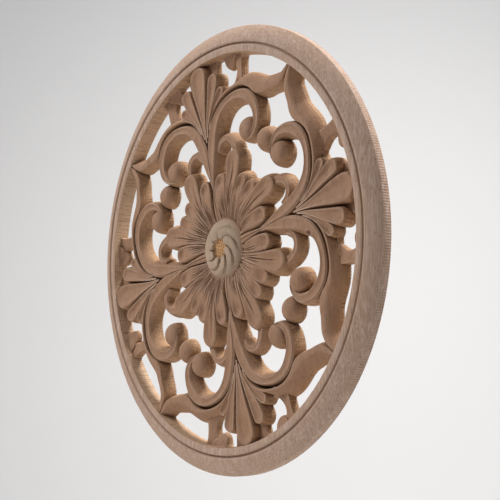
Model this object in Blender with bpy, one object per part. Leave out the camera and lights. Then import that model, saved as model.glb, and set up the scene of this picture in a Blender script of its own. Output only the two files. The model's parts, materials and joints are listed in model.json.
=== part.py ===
# Round pierced applique, carved from one board of pale wood: a moulded rim, four palmettes,
# eight C-scrolls with berries and pointed leaves, and a many-petalled flower round a bud.
# The carving is laid out in millimetres on its own plan: x to the right, y up, and h the
# height above the flat back. The model is in metres, upright, its back on the plane Y = 0
# and its carved face towards -Y, with the origin on the back behind the bud.

import math

import bmesh
import bpy
import numpy as np

MILLIMETRE = 0.001

# Driving sizes of the board and its rim
DISC_RADIUS = 150.0
RIM_HEIGHT = 11.0
RIM_OUTER_EDGE = 5.8
RIM_EDGE_ROUNDING = 1.0
RIM_GROOVE_RADIUS = 137.4
RIM_GROOVE_WIDTH = 1.8
RIM_GROOVE_DEPTH = 1.6
RIM_INNER_RADIUS = 131.4
RIM_BEAD_ROUNDING = 0.9
RIM_BEAD_RISE = 0.05
RIM_SEGMENTS = 64

# Driving sizes of the carving
QUARTERS = 4
PALMETTE_ROOT = 76.0
PALMETTE_TIP = 131.6
LEAFLET_FLARE = 2.0
LEAFLET_HOLLOW = 1.1
RIBBON_INNER_FLARE = 4.0
RIBBON_OUTER_FLARE = 1.7
RIBBON_HOLLOW = 0.6
RIBBON_EDGE_DROP = 0.7
CURL_FLARE = 2.6
LEAF_INNER_FLARE = 2.4
LEAF_ROOT_FLARE = 0.9
LEAF_OUTER_FLARE = 7.4
LEAF_FLARE_START = 0.14
LEAF_FLARE_FULL = 0.38
LEAF_BULGE_DEPTH = 0.55
FLANK_BULGE = 1.5
BRIDGE_FLARE = 0.8
BRIDGE_TILT = 1.1
BERRY_RADIUS = 9.0
BERRY_CREST = 11.1
MIDDLE_BERRY_CREST = 10.3
BERRY_OUTLINE = [(1.0, 0.0), (1.0, 0.27), (0.93, 0.6), (0.7, 0.88), (0.36, 0.985), (0.0, 1.0)]
PETAL_FLARE = 2.6
PETAL_HOLLOW = 0.9
FLOWER_GROUND_RADIUS = 36.0
FLOWER_GROUND_HEIGHT = 6.0
BUD_OUTLINE = [(21.5, 6.0), (18.2, 8.9), (14.8, 11.1), (11.4, 12.0), (8.2, 11.6), (6.2, 9.9), (0.0, 10.0)]

# Each shell reaches a little further below the back than the one before, until it is trimmed
SKIRT_START = 1.0
SKIRT_STEP = 0.03

# Faces that meet at less than this angle, in degrees, are one flat face
FLAT_FACE_ANGLE = 4.0

# Lines along a strip of carving, from its right edge to its left one as it runs, and how far
# each lies below the strip's own height
FLAT = [(-1.0, 0.0), (1.0, 0.0)]
SCOOPED_LEAFLET = [(-1.0, 0.3), (0.0, LEAFLET_HOLLOW), (1.0, 0.3)]
SCOOPED_PETAL = [(-1.0, 0.3), (0.0, PETAL_HOLLOW), (1.0, 0.3)]
TILTED = [(-1.0, -BRIDGE_TILT), (1.0, BRIDGE_TILT)]
RIDGED = [(-1.0, 0.2), (-0.1, RIBBON_HOLLOW), (0.6, 0.0), (1.0, RIBBON_EDGE_DROP)]

# Steps in which a round end closes
ROUND_END_STEPS = 3


def smooth_curve(points, count, round_end):
    """Cubic curve through the points, read at count even steps of the chord length and
    then, where its end is round, at closing steps over the last round_end of it."""
    points = np.asarray(points, dtype=float)
    chords = np.linalg.norm(np.diff(points[:, :2], axis=0), axis=1)
    places = np.concatenate([[0.0], np.cumsum(chords)])
    slopes = np.gradient(points, places, axis=0)
    wanted = np.linspace(0.0, places[-1] - round_end, count)
    if round_end > 0.0:
        turn = np.linspace(0.0, math.pi / 2, ROUND_END_STEPS + 1)[1:]
        wanted = np.concatenate([wanted, places[-1] - round_end * (1.0 - np.sin(turn))])
    span = np.clip(np.searchsorted(places, wanted, side="right") - 1, 0, len(chords) - 1)
    length = chords[span][:, None]
    t = ((wanted - places[span]) / chords[span])[:, None]
    start = (2 * t**3 - 3 * t**2 + 1) * points[span] + (t**3 - 2 * t**2 + t) * length * slopes[span]
    end = (3 * t**2 - 2 * t**3) * points[span + 1] + (t**3 - t**2) * length * slopes[span + 1]
    return start + end


def strip(route, count, section, round_end=0.0):
    """Top of a strip of carving along a route of (x, y, half width, height), with the drops
    of its section across it. round_end is the length over which its end closes in a half
    circle. Gives x, y and h on a grid."""
    stations = smooth_curve(route, count, round_end)
    centre = stations[:, :2]
    travelled = np.concatenate([[0.0], np.cumsum(np.linalg.norm(np.diff(centre, axis=0), axis=1))])
    tangent = np.gradient(centre, travelled, axis=0)
    tangent /= np.linalg.norm(tangent, axis=1)[:, None]
    normal = np.stack([-tangent[:, 1], tangent[:, 0]], axis=1)
    roundness = np.ones((len(centre), 1))
    if round_end > 0.0:
        nearness = np.clip(1.0 - (travelled[-1] - travelled) / round_end, 0.0, 1.0)
        roundness = np.sqrt(1.0 - nearness**2)[:, None]
    lines, drops = np.array(section).T
    reach = stations[:, 2:3] * roundness * lines
    x = centre[:, :1] + normal[:, :1] * reach
    y = centre[:, 1:] + normal[:, 1:] * reach
    edge_drop = drops[0]
    h = stations[:, 3:4] - edge_drop - (drops - edge_drop) * roundness
    return x, y, h


def turned_top(x0, y0, profile, segments):
    """Top of a round boss: its profile of (radius, h), from the edge to the middle, turned
    round its own axis. Gives x, y and h on a grid."""
    turn = np.linspace(0.0, 2.0 * math.pi, segments, endpoint=False)[:, None]
    radius, height = np.array(profile, dtype=float).T
    x = x0 + radius * np.cos(turn)
    y = y0 + radius * np.sin(turn)
    return x, y, height * np.ones_like(turn)


def berry_profile(radius, crest):
    """A flattened ball that stands on the back, cut off there just below its widest part."""
    return [(radius * out, crest * up) for out, up in BERRY_OUTLINE]


def rim_profile():
    """Section of the rim as (radius, h), from the foot of the inner wall to the outer one:
    a rounded bead, a V groove, a slope down to the outer edge and the outer wall."""
    groove_floor = RIM_HEIGHT - RIM_GROOVE_DEPTH
    bead_end = RIM_GROOVE_RADIUS - RIM_GROOVE_WIDTH / 2
    bead_crest = (RIM_INNER_RADIUS + bead_end) / 2
    return [
        (RIM_INNER_RADIUS, -SKIRT_START / 2),
        (RIM_INNER_RADIUS, RIM_HEIGHT - RIM_BEAD_ROUNDING),
        (bead_crest, RIM_HEIGHT + RIM_BEAD_RISE),
        (bead_end, RIM_HEIGHT - RIM_BEAD_ROUNDING / 2),
        (RIM_GROOVE_RADIUS, groove_floor),
        (RIM_GROOVE_RADIUS + RIM_GROOVE_WIDTH / 2, RIM_HEIGHT),
        (DISC_RADIUS - RIM_EDGE_ROUNDING, RIM_OUTER_EDGE + RIM_EDGE_ROUNDING / 3),
        (DISC_RADIUS, RIM_OUTER_EDGE - RIM_EDGE_ROUNDING),
        (DISC_RADIUS, -SKIRT_START / 2),
    ]


def placed(plan, quarter, mirrored):
    """The plan turned by a number of quarters, after it is mirrored about the y axis if asked."""
    x, y, h = plan
    x = -x if mirrored else x
    cosine = round(math.cos(quarter * math.pi / 2))
    sine = round(math.sin(quarter * math.pi / 2))
    return cosine * x - sine * y, sine * x + cosine * y, h


def grid_faces(index, closed):
    """Squares between the numbered corners of a grid, whose rows join into a ring if closed."""
    rows, columns = index.shape
    return [
        (index[i, j], index[i, j + 1], index[(i + 1) % rows, j + 1], index[(i + 1) % rows, j])
        for i in range(rows if closed else rows - 1)
        for j in range(columns - 1)
    ]


class Carving:
    """Collects the closed shells of the carving in one mesh."""

    def __init__(self):
        self.mesh = bmesh.new()
        self.shells = 0

    def add_shell(self, vertices, faces):
        shell = bmesh.new()
        made = [shell.verts.new((x * MILLIMETRE, -h * MILLIMETRE, y * MILLIMETRE)) for x, y, h in vertices]
        for face in faces:
            shell.faces.new([made[i] for i in face])
        bmesh.ops.remove_doubles(shell, verts=shell.verts, dist=1e-6)
        bmesh.ops.dissolve_degenerate(shell, edges=shell.edges, dist=1e-7)
        bmesh.ops.recalc_face_normals(shell, faces=shell.faces)
        piece = bpy.data.meshes.new("shell")
        shell.to_mesh(piece)
        shell.free()
        self.mesh.from_mesh(piece)
        bpy.data.meshes.remove(piece)
        self.shells += 1

    def add_relief(self, plan, flares=(0.0, 0.0), flank_shares=(1.0,), closed=False):
        """A grid of x, y and h becomes the top of a shell. Its flanks lean outwards on their
        way to the back by the flares of the right and left sides, with a bend at each of the
        given shares of the depth: one above the back makes the flank bulge. A flare may
        change along the strip, as a list of (share along, flare)."""
        x, y, h = plan
        rows, columns = x.shape
        floor = -SKIRT_START - SKIRT_STEP * self.shells
        top = np.stack([x, y, h], axis=-1).reshape(-1, 3)
        index = np.arange(rows * columns).reshape(rows, columns)
        rim = index[:, 0]
        if not closed:
            rim = np.concatenate([index[0, :-1], index[:-1, -1], index[-1, :0:-1], index[:0:-1, 0]])
        gap = np.linalg.norm(top[rim, :2] - top[np.roll(rim, 1), :2], axis=1)
        rim = rim[gap > 0.01]
        edge = top[rim]
        ahead = np.roll(edge, -1, axis=0) - np.roll(edge, 1, axis=0)
        turning = np.sum(edge[:, 0] * np.roll(edge[:, 1], -1) - edge[:, 1] * np.roll(edge[:, 0], -1))
        outward = np.stack([ahead[:, 1], -ahead[:, 0]], axis=1) * np.sign(turning)
        outward /= np.linalg.norm(outward, axis=1)[:, None]
        along = (rim // columns) / (rows - 1)
        right, left = [np.interp(along, *np.transpose(f)) if isinstance(f, list) else f for f in flares]
        flare = right + (left - right) * (rim % columns) / (columns - 1)
        layers = [top]
        belts = [rim]
        count = len(rim)
        for share in flank_shares + (None,):
            layer = edge.copy()
            bulge = 1.0 if share is None else 1.0 - (1.0 - share) ** FLANK_BULGE
            layer[:, :2] += outward * (flare * bulge)[:, None]
            layer[:, 2] = floor if share is None else edge[:, 2] * (1.0 - share)
            belts.append(sum(len(part) for part in layers) + np.arange(count))
            layers.append(layer)
        under = top.copy()
        under[:, 2] = floor
        under_start = sum(len(part) for part in layers)
        belts.append(under_start + rim)
        layers.append(under)
        flanks = [
            (above[i], below[i], below[(i + 1) % count], above[(i + 1) % count])
            for above, below in zip(belts[:-1], belts[1:])
            for i in range(count)
        ]
        faces = grid_faces(index, closed) + flanks + grid_faces(index + under_start, closed)
        self.add_shell(np.concatenate(layers), faces)

    def add_turned(self, profile, segments):
        """A section of (radius, h) turned once round the middle of the disc."""
        turn = np.arange(segments) * 2.0 * math.pi / segments
        vertices = [(r * math.cos(a), r * math.sin(a), h) for a in turn for r, h in profile]
        corners = np.arange(len(vertices)).reshape(segments, len(profile))
        index = np.concatenate([corners, corners[:, :1]], axis=1)
        self.add_shell(vertices, grid_faces(index, closed=True))

    def add_each_way(self, plan, flares=(0.0, 0.0), mirrored=True, **shape):
        """The plan in every quarter of the disc, with its mirror image beside it if asked."""
        for quarter in range(QUARTERS):
            self.add_relief(placed(plan, quarter, False), flares, **shape)
            if mirrored:
                self.add_relief(placed(plan, quarter, True), flares, **shape)


def carve_palmettes(carving):
    """A broad middle leaflet and two narrower pairs beside it, all springing from one root."""
    middle = [
        (0.0, PALMETTE_ROOT, 0.5, 9.0),
        (0.0, 86.0, 1.6, 9.6),
        (0.0, 95.0, 3.1, 9.9),
        (0.0, 104.0, 5.0, 10.1),
        (0.0, 113.0, 7.2, 10.2),
        (0.0, 122.0, 8.5, 10.2),
        (0.0, PALMETTE_TIP, 8.6, 10.0),
    ]
    inner = [
        (1.7, 79.0, 0.5, 9.0),
        (3.9, 87.5, 1.2, 9.6),
        (7.2, 95.3, 2.4, 9.9),
        (11.3, 104.6, 3.9, 10.0),
        (14.5, 112.6, 5.0, 10.0),
        (17.0, 120.2, 5.1, 9.8),
    ]
    outer = [
        (4.6, 83.6, 0.5, 8.9),
        (7.3, 89.4, 1.0, 9.4),
        (10.4, 94.2, 1.5, 9.6),
        (14.0, 98.6, 2.3, 9.7),
        (17.7, 102.3, 3.1, 9.6),
        (21.0, 105.1, 3.6, 9.4),
        (24.0, 107.4, 3.5, 9.1),
    ]
    both = (LEAFLET_FLARE, LEAFLET_FLARE)
    carving.add_each_way(strip(middle, 5, SCOOPED_LEAFLET, round_end=8.4), both, mirrored=False)
    carving.add_each_way(strip(inner, 4, SCOOPED_LEAFLET, round_end=5.0), both)
    carving.add_each_way(strip(outer, 3, SCOOPED_LEAFLET, round_end=3.4), both)


def carve_scrolls(carving):
    """Each scroll rises along the stem, bends over and curls in under its berry, and a lower
    curl beside the stem joins it to the flower."""
    ribbon = [
        (0.6, 40.0, 0.9, 8.0),
        (0.9, 48.0, 1.2, 9.3),
        (2.3, 57.0, 2.5, 9.8),
        (4.1, 68.0, 4.0, 10.0),
        (7.3, 78.0, 4.2, 10.1),
        (13.0, 87.6, 3.7, 10.1),
        (20.4, 93.4, 3.0, 10.1),
        (29.7, 96.2, 2.6, 10.1),
        (38.6, 96.0, 2.9, 10.1),
        (46.6, 92.8, 3.4, 10.1),
        (52.7, 86.0, 3.8, 10.1),
        (55.2, 77.5, 3.1, 10.0),
        (54.0, 70.4, 2.6, 9.9),
        (50.0, 65.6, 1.9, 9.6),
        (45.2, 63.3, 1.2, 9.2),
        (40.5, 63.2, 0.7, 8.8),
    ]
    curl = [
        (9.0, 66.0, 2.0, 8.2),
        (12.6, 71.0, 2.0, 8.1),
        (18.0, 72.6, 2.0, 8.0),
        (22.8, 70.6, 2.1, 7.9),
        (25.6, 65.6, 2.4, 7.7),
        (26.6, 59.5, 2.6, 7.4),
        (26.6, 54.0, 2.4, 7.0),
    ]
    carving.add_each_way(strip(ribbon, 17, RIDGED), (RIBBON_INNER_FLARE, RIBBON_OUTER_FLARE))
    carving.add_each_way(strip(curl, 6, FLAT), (CURL_FLARE, CURL_FLARE))


def carve_leaves(carving):
    """The pointed leaf is a thin ridge along the back of its scroll, with a broad outer flank,
    and reaches the rim at the corner."""
    ridge = [
        (11.5, 93.6, 0.3, 9.0),
        (15.0, 96.9, 0.5, 9.6),
        (20.0, 99.9, 0.7, 9.9),
        (30.0, 102.2, 0.8, 10.0),
        (37.0, 102.3, 0.8, 10.0),
        (43.0, 101.6, 1.0, 10.0),
        (48.6, 99.7, 1.5, 10.0),
        (54.0, 96.0, 2.0, 10.0),
        (58.6, 91.8, 2.9, 9.9),
        (64.0, 89.3, 2.7, 9.8),
        (70.0, 88.5, 2.1, 9.8),
        (79.0, 87.3, 2.0, 9.8),
        (87.5, 90.6, 1.5, 9.8),
        (92.5, 94.0, 0.5, 9.8),
    ]
    outer_flare = [
        (0.0, LEAF_ROOT_FLARE),
        (LEAF_FLARE_START, LEAF_ROOT_FLARE),
        (LEAF_FLARE_FULL, LEAF_OUTER_FLARE),
        (1.0, LEAF_OUTER_FLARE),
    ]
    carving.add_each_way(
        strip(ridge, 12, FLAT), (LEAF_INNER_FLARE, outer_flare), flank_shares=(LEAF_BULGE_DEPTH,)
    )


def carve_bridges(carving):
    """A low bar ties each leaf to the rim, and a cusp slopes down from the rim into the opening
    between the bar and the palmette."""
    bridge = [
        (36.0, 104.0, 6.0, 5.0),
        (38.6, 109.5, 4.3, 5.1),
        (39.9, 114.5, 3.6, 5.1),
        (40.3, 119.0, 4.3, 5.3),
        (40.5, 124.0, 6.5, 5.7),
        (41.0, 129.0, 8.0, 6.2),
    ]
    cusp = [
        (35.5, 130.5, 5.8, 9.0),
        (32.0, 126.8, 5.8, 7.0),
        (30.2, 122.8, 4.4, 4.8),
        (29.9, 118.7, 3.0, 3.1),
    ]
    both = (BRIDGE_FLARE, BRIDGE_FLARE)
    carving.add_each_way(strip(bridge, 5, TILTED), both)
    carving.add_each_way(strip(cusp, 3, FLAT, round_end=2.9), both)


def carve_berries(carving):
    """One berry inside each scroll, and one in each quarter between two scrolls."""
    inside = turned_top(42.2, 69.6, berry_profile(BERRY_RADIUS, BERRY_CREST), 12)
    between = turned_top(57.0, 57.0, berry_profile(BERRY_RADIUS, MIDDLE_BERRY_CREST), 12)
    carving.add_each_way(inside, closed=True)
    carving.add_each_way(between, mirrored=False, closed=True)


def carve_flower(carving):
    """Petals in threes between the stems on a low ground, with the bud and its eye in the middle."""
    stem_petal = [
        (5.2, 17.0, 3.0, 8.0),
        (6.6, 24.0, 4.0, 9.6),
        (7.2, 31.0, 5.2, 10.3),
        (7.9, 38.0, 5.9, 10.1),
        (8.8, 44.0, 5.7, 9.8),
        (10.2, 49.6, 5.4, 9.4),
    ]
    long_petal = [
        (8.6, 15.5, 2.0, 8.0),
        (12.2, 23.5, 2.6, 9.6),
        (15.8, 32.0, 4.1, 10.3),
        (19.5, 39.5, 5.7, 10.1),
        (22.4, 46.0, 6.9, 9.9),
        (24.4, 53.0, 7.3, 9.7),
        (26.6, 60.8, 7.0, 9.3),
    ]
    corner_petal = [
        (12.2, 14.2, 2.2, 8.0),
        (17.6, 21.5, 3.2, 9.6),
        (21.8, 27.6, 4.3, 10.0),
        (25.6, 32.6, 4.9, 9.8),
        (29.0, 36.6, 5.0, 9.4),
        (33.2, 41.4, 4.7, 8.9),
    ]
    both = (PETAL_FLARE, PETAL_FLARE)
    carving.add_each_way(strip(stem_petal, 4, SCOOPED_PETAL, round_end=5.4), both)
    carving.add_each_way(strip(long_petal, 4, SCOOPED_PETAL, round_end=7.4), both)
    carving.add_each_way(strip(corner_petal, 4, SCOOPED_PETAL, round_end=5.0), both)
    ground = [(FLOWER_GROUND_RADIUS, FLOWER_GROUND_HEIGHT), (0.0, FLOWER_GROUND_HEIGHT)]
    carving.add_relief(turned_top(0.0, 0.0, ground, 24), closed=True)
    carving.add_relief(turned_top(0.0, 0.0, BUD_OUTLINE, 24), closed=True)


def back_trimmer():
    """A slab in front of the back plane, which keeps only what lies before the wall."""
    bpy.ops.mesh.primitive_cube_add(size=1.0)
    slab = bpy.context.object
    slab.name = "back_trimmer"
    depth = 40.0 * MILLIMETRE
    width = 2.2 * DISC_RADIUS * MILLIMETRE
    for vertex in slab.data.vertices:
        vertex.co.x *= width
        vertex.co.y = (vertex.co.y - 0.5) * depth
        vertex.co.z *= width
    slab.hide_render = True
    slab.display_type = "WIRE"
    return slab


def pale_wood():
    """Unpainted, unvarnished wood of a pinkish tan."""
    material = bpy.data.materials.new("pale_wood")
    material.use_nodes = True
    shader = material.node_tree.nodes["Principled BSDF"]
    shader.inputs["Base Color"].default_value = (0.47, 0.29, 0.19, 1.0)
    shader.inputs["Roughness"].default_value = 0.62
    shader.inputs["Metallic"].default_value = 0.0
    return material


def build():
    for item in list(bpy.data.objects):
        bpy.data.objects.remove(item, do_unlink=True)
    carving = Carving()
    carving.add_turned(rim_profile(), RIM_SEGMENTS)
    carve_palmettes(carving)
    carve_scrolls(carving)
    carve_leaves(carving)
    carve_bridges(carving)
    carve_berries(carving)
    carve_flower(carving)
    mesh = bpy.data.meshes.new("carved_applique")
    carving.mesh.to_mesh(mesh)
    carving.mesh.free()
    mesh.materials.append(pale_wood())
    applique = bpy.data.objects.new("carved_applique", mesh)
    bpy.context.collection.objects.link(applique)
    trim = applique.modifiers.new("one_solid_on_a_flat_back", "BOOLEAN")
    trim.operation = "INTERSECT"
    trim.solver = "EXACT"
    trim.use_self = True
    trim.object = back_trimmer()
    flats = applique.modifiers.new("whole_flat_faces", "DECIMATE")
    flats.decimate_type = "DISSOLVE"
    flats.angle_limit = math.radians(FLAT_FACE_ANGLE)


build()
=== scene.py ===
# Round pierced applique carved from one board of pale wood, dressed over its CAD solid.
# The carving is laid out in millimetres on its own plan: x to the right, y up, h the height
# above the flat back. In the scene x is +X, y is +Z and h runs towards -Y.
import json
import math

import bmesh
import bpy
import mathutils
import numpy as np
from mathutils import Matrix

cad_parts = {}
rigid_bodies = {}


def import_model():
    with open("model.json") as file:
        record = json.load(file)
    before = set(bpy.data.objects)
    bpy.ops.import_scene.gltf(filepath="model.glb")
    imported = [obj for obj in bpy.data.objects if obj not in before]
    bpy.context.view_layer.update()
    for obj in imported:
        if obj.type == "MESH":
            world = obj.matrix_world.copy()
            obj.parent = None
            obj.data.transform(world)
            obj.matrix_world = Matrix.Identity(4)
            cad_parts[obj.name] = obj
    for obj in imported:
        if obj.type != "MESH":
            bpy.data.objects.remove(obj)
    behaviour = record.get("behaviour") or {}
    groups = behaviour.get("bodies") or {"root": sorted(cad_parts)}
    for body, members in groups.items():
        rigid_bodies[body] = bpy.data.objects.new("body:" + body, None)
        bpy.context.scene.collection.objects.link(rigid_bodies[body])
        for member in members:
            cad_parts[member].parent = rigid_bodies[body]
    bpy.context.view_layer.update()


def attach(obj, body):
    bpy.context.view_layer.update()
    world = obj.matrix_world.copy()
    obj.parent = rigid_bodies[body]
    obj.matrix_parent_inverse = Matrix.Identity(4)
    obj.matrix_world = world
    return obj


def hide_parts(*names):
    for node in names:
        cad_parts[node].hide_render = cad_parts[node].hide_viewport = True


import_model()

mm = 0.001


def ease(value, low, high):
    # 0 below low, 1 above high, and a smooth cubic between
    t = np.clip((value - low) / (high - low), 0.0, 1.0)
    return t * t * (3.0 - 2.0 * t)


def cut(distance, width):
    # V cut: 1 on its line, falling straight to 0 half a width away
    return np.clip(1.0 - np.abs(distance) / (width / 2), 0.0, 1.0)


def curveThrough(points, rows, tipLength):
    # cubic Hermite curve through the points: even steps along the chords, then sine spaced
    # steps over the last tipLength. Gives the points, how far into the tip, and the share along
    points = np.asarray(points, dtype=float)
    chords = np.linalg.norm(np.diff(points[:, :2], axis=0), axis=1)
    places = np.concatenate([[0.0], np.cumsum(chords)])
    slopes = np.gradient(points, places, axis=0)
    total = places[-1]
    wanted = np.linspace(0.0, total - tipLength, rows)
    intoTip = np.zeros(rows)
    if tipLength > 0.0:
        turn = np.linspace(0.0, math.pi / 2, max(6, rows // 3) + 1)[1:]
        wanted = np.concatenate([wanted, total - tipLength * (1.0 - np.sin(turn))])
        intoTip = np.concatenate([intoTip, np.sin(turn)])
    span = np.clip(np.searchsorted(places, wanted, side="right") - 1, 0, len(chords) - 1)
    length = chords[span][:, None]
    t = ((wanted - places[span]) / chords[span])[:, None]
    start = (2 * t**3 - 3 * t**2 + 1) * points[span] + (t**3 - 2 * t**2 + t) * length * slopes[span]
    end = (3 * t**2 - 2 * t**3) * points[span + 1] + (t**3 - t**2) * length * slopes[span + 1]
    return start + end, intoTip, wanted / total


def stripTop(route, rows, columns, relief, tipLength=0.0):
    # top of a strip along a route of (x, y, half width, height): rows cross the route squarely.
    # relief(side, rho, along) adds height, with side from -1 to 1 across, and rho 0 on the
    # route and 1 on the outline, also round the tip
    stations, intoTip, along = curveThrough(route, rows, tipLength)
    centre = stations[:, :2]
    travelled = np.concatenate([[0.0], np.cumsum(np.linalg.norm(np.diff(centre, axis=0), axis=1))])
    tangent = np.gradient(centre, travelled, axis=0)
    tangent /= np.linalg.norm(tangent, axis=1)[:, None]
    roundness = np.sqrt(1.0 - intoTip**2)[:, None]
    even = np.linspace(-1.0, 1.0, columns)
    u = (0.6 * even + 0.4 * np.sin(even * math.pi / 2))[None, :]
    reach = stations[:, 2:3] * roundness * u
    x = centre[:, :1] - tangent[:, 1:] * reach
    y = centre[:, 1:] + tangent[:, :1] * reach
    rho = np.sqrt(intoTip[:, None] ** 2 + (u * roundness) ** 2)
    h = stations[:, 3:4] + relief(u * np.ones_like(rho), rho, along[:, None] * np.ones_like(rho))
    return x, y, h


def domeTop(x0, y0, radius, crest, segments, rings, power):
    # round boss standing on the back: a superellipse of the given power, turned round its axis
    turn = np.linspace(0.0, 2.0 * math.pi, segments, endpoint=False)[:, None]
    tilt = np.linspace(0.0, math.pi / 2, rings + 1)[None, :]
    out = np.where(tilt < math.pi / 2, np.maximum(np.cos(tilt), 0.0) ** (2.0 / power), 0.0)
    x = x0 + radius * out * np.cos(turn)
    y = y0 + radius * out * np.sin(turn)
    h = crest * np.sin(tilt) ** (2.0 / power) * np.ones_like(turn)
    return x, y, h


def quads(rows, columns, ring):
    # corner numbers of every square of a grid, whose rows join up into a ring if asked
    row = np.arange(rows if ring else rows - 1)[:, None]
    column = np.arange(columns - 1)[None, :]
    here = row * columns + column
    there = (row + 1) % rows * columns + column
    return np.stack([here, there, there + 1, here + 1], -1).reshape(-1, 4)


def shellOf(top, ring=False, flare=(0.0, 0.0), foot=2.0, flareRows=3, curl=1.6, floor=-1.0):
    # closes a top grid: from its outline the flanks lean out by the flare of their side, right
    # then left, as flare * (1 - (1 - depth share) ** curl), down to the foot; a wall drops to
    # the floor, and the same grid closes it there. A flare may be a list of (share along, flare).
    # The floors lie below the back, which is cut flat at the end, each kind of shell at a floor
    # of its own, so that no two undersides coincide
    x, y, h = top
    rows, columns = x.shape
    index = np.arange(rows * columns).reshape(rows, columns)
    plan = np.stack([x.ravel(), y.ravel()], -1)
    height = h.ravel()
    if ring:
        loop = index[:, 0]
    else:
        loop = np.concatenate([index[0, :-1], index[:-1, -1], index[-1, :0:-1], index[:0:-1, 0]])
    gap = np.linalg.norm(plan[loop] - plan[np.roll(loop, 1)], axis=1)
    loop = loop[gap > 1e-4]
    ahead = plan[np.roll(loop, -1)] - plan[np.roll(loop, 1)]
    area = np.sum(plan[loop, 0] * np.roll(plan[loop, 1], -1) - plan[loop, 1] * np.roll(plan[loop, 0], -1))
    outward = np.stack([ahead[:, 1], -ahead[:, 0]], -1) * np.sign(area)
    outward /= np.linalg.norm(outward, axis=1)[:, None] + 1e-12
    along = (loop // columns) / (rows - 1)
    leans = [np.interp(along, *np.transpose(f)) if isinstance(f, list) else f for f in flare]
    lean = leans[0] + (leans[1] - leans[0]) * (loop % columns) / (columns - 1)
    share = np.linspace(0.0, 1.0, flareRows + 1)[1:, None]
    push = lean[None, :] * (1.0 - (1.0 - share) ** curl)
    ringPlan = plan[loop][None] + outward[None] * push[..., None]
    ringHeight = height[loop][None] * (1.0 - share) + foot * share
    count = len(loop)
    vertices = [
        np.column_stack([plan, height]),
        np.column_stack([ringPlan.reshape(-1, 2), ringHeight.ravel()]),
        np.column_stack([ringPlan[-1], np.full(count, floor)]),
        np.column_stack([plan, np.full(len(plan), floor)]),
    ]
    topCount = len(plan)
    belts = [loop] + [topCount + k * count + np.arange(count) for k in range(flareRows + 1)]
    underStart = topCount + (flareRows + 1) * count
    belts.append(underStart + loop)
    sides = [
        np.stack([a, np.roll(a, -1), np.roll(b, -1), b], -1)
        for a, b in zip(belts[:-1], belts[1:])
    ]
    topFaces = quads(rows, columns, ring)
    faces = np.concatenate([topFaces] + sides + [topFaces[:, ::-1] + underStart])
    return np.concatenate(vertices), faces


def turnedShell(profile, segments):
    # a closed section of (radius, h) turned once round the middle: corner (spoke, step) is
    # joined to the next step on its spoke and to the same step on the next spoke
    profile = np.asarray(profile, dtype=float)
    turn = (np.arange(segments) * 2.0 * math.pi / segments)[:, None]
    radius = profile[None, :, 0] * np.ones_like(turn)
    h = profile[None, :, 1] * np.ones_like(turn)
    vertices = np.stack([radius * np.cos(turn), radius * np.sin(turn), h], -1).reshape(-1, 3)
    count = len(profile)
    spoke = np.arange(segments)[:, None] * count
    nextSpoke = (np.arange(segments)[:, None] + 1) % segments * count
    step = np.arange(count)[None, :]
    nextStep = (step + 1) % count
    corners = [spoke + step, spoke + nextStep, nextSpoke + nextStep, nextSpoke + step]
    return vertices, np.stack(corners, -1).reshape(-1, 4)


def filled(mesh, vertices, faces):
    # puts whole arrays of corners and quads into a mesh, with no loop over the vertices
    mesh.vertices.add(len(vertices))
    mesh.vertices.foreach_set("co", vertices.astype(np.float32).ravel())
    mesh.loops.add(faces.size)
    mesh.loops.foreach_set("vertex_index", faces.astype(np.int32).ravel())
    mesh.polygons.add(len(faces))
    mesh.polygons.foreach_set("loop_start", np.arange(0, faces.size, faces.shape[1], dtype=np.int32))
    mesh.update(calc_edges=True)
    return mesh


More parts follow.
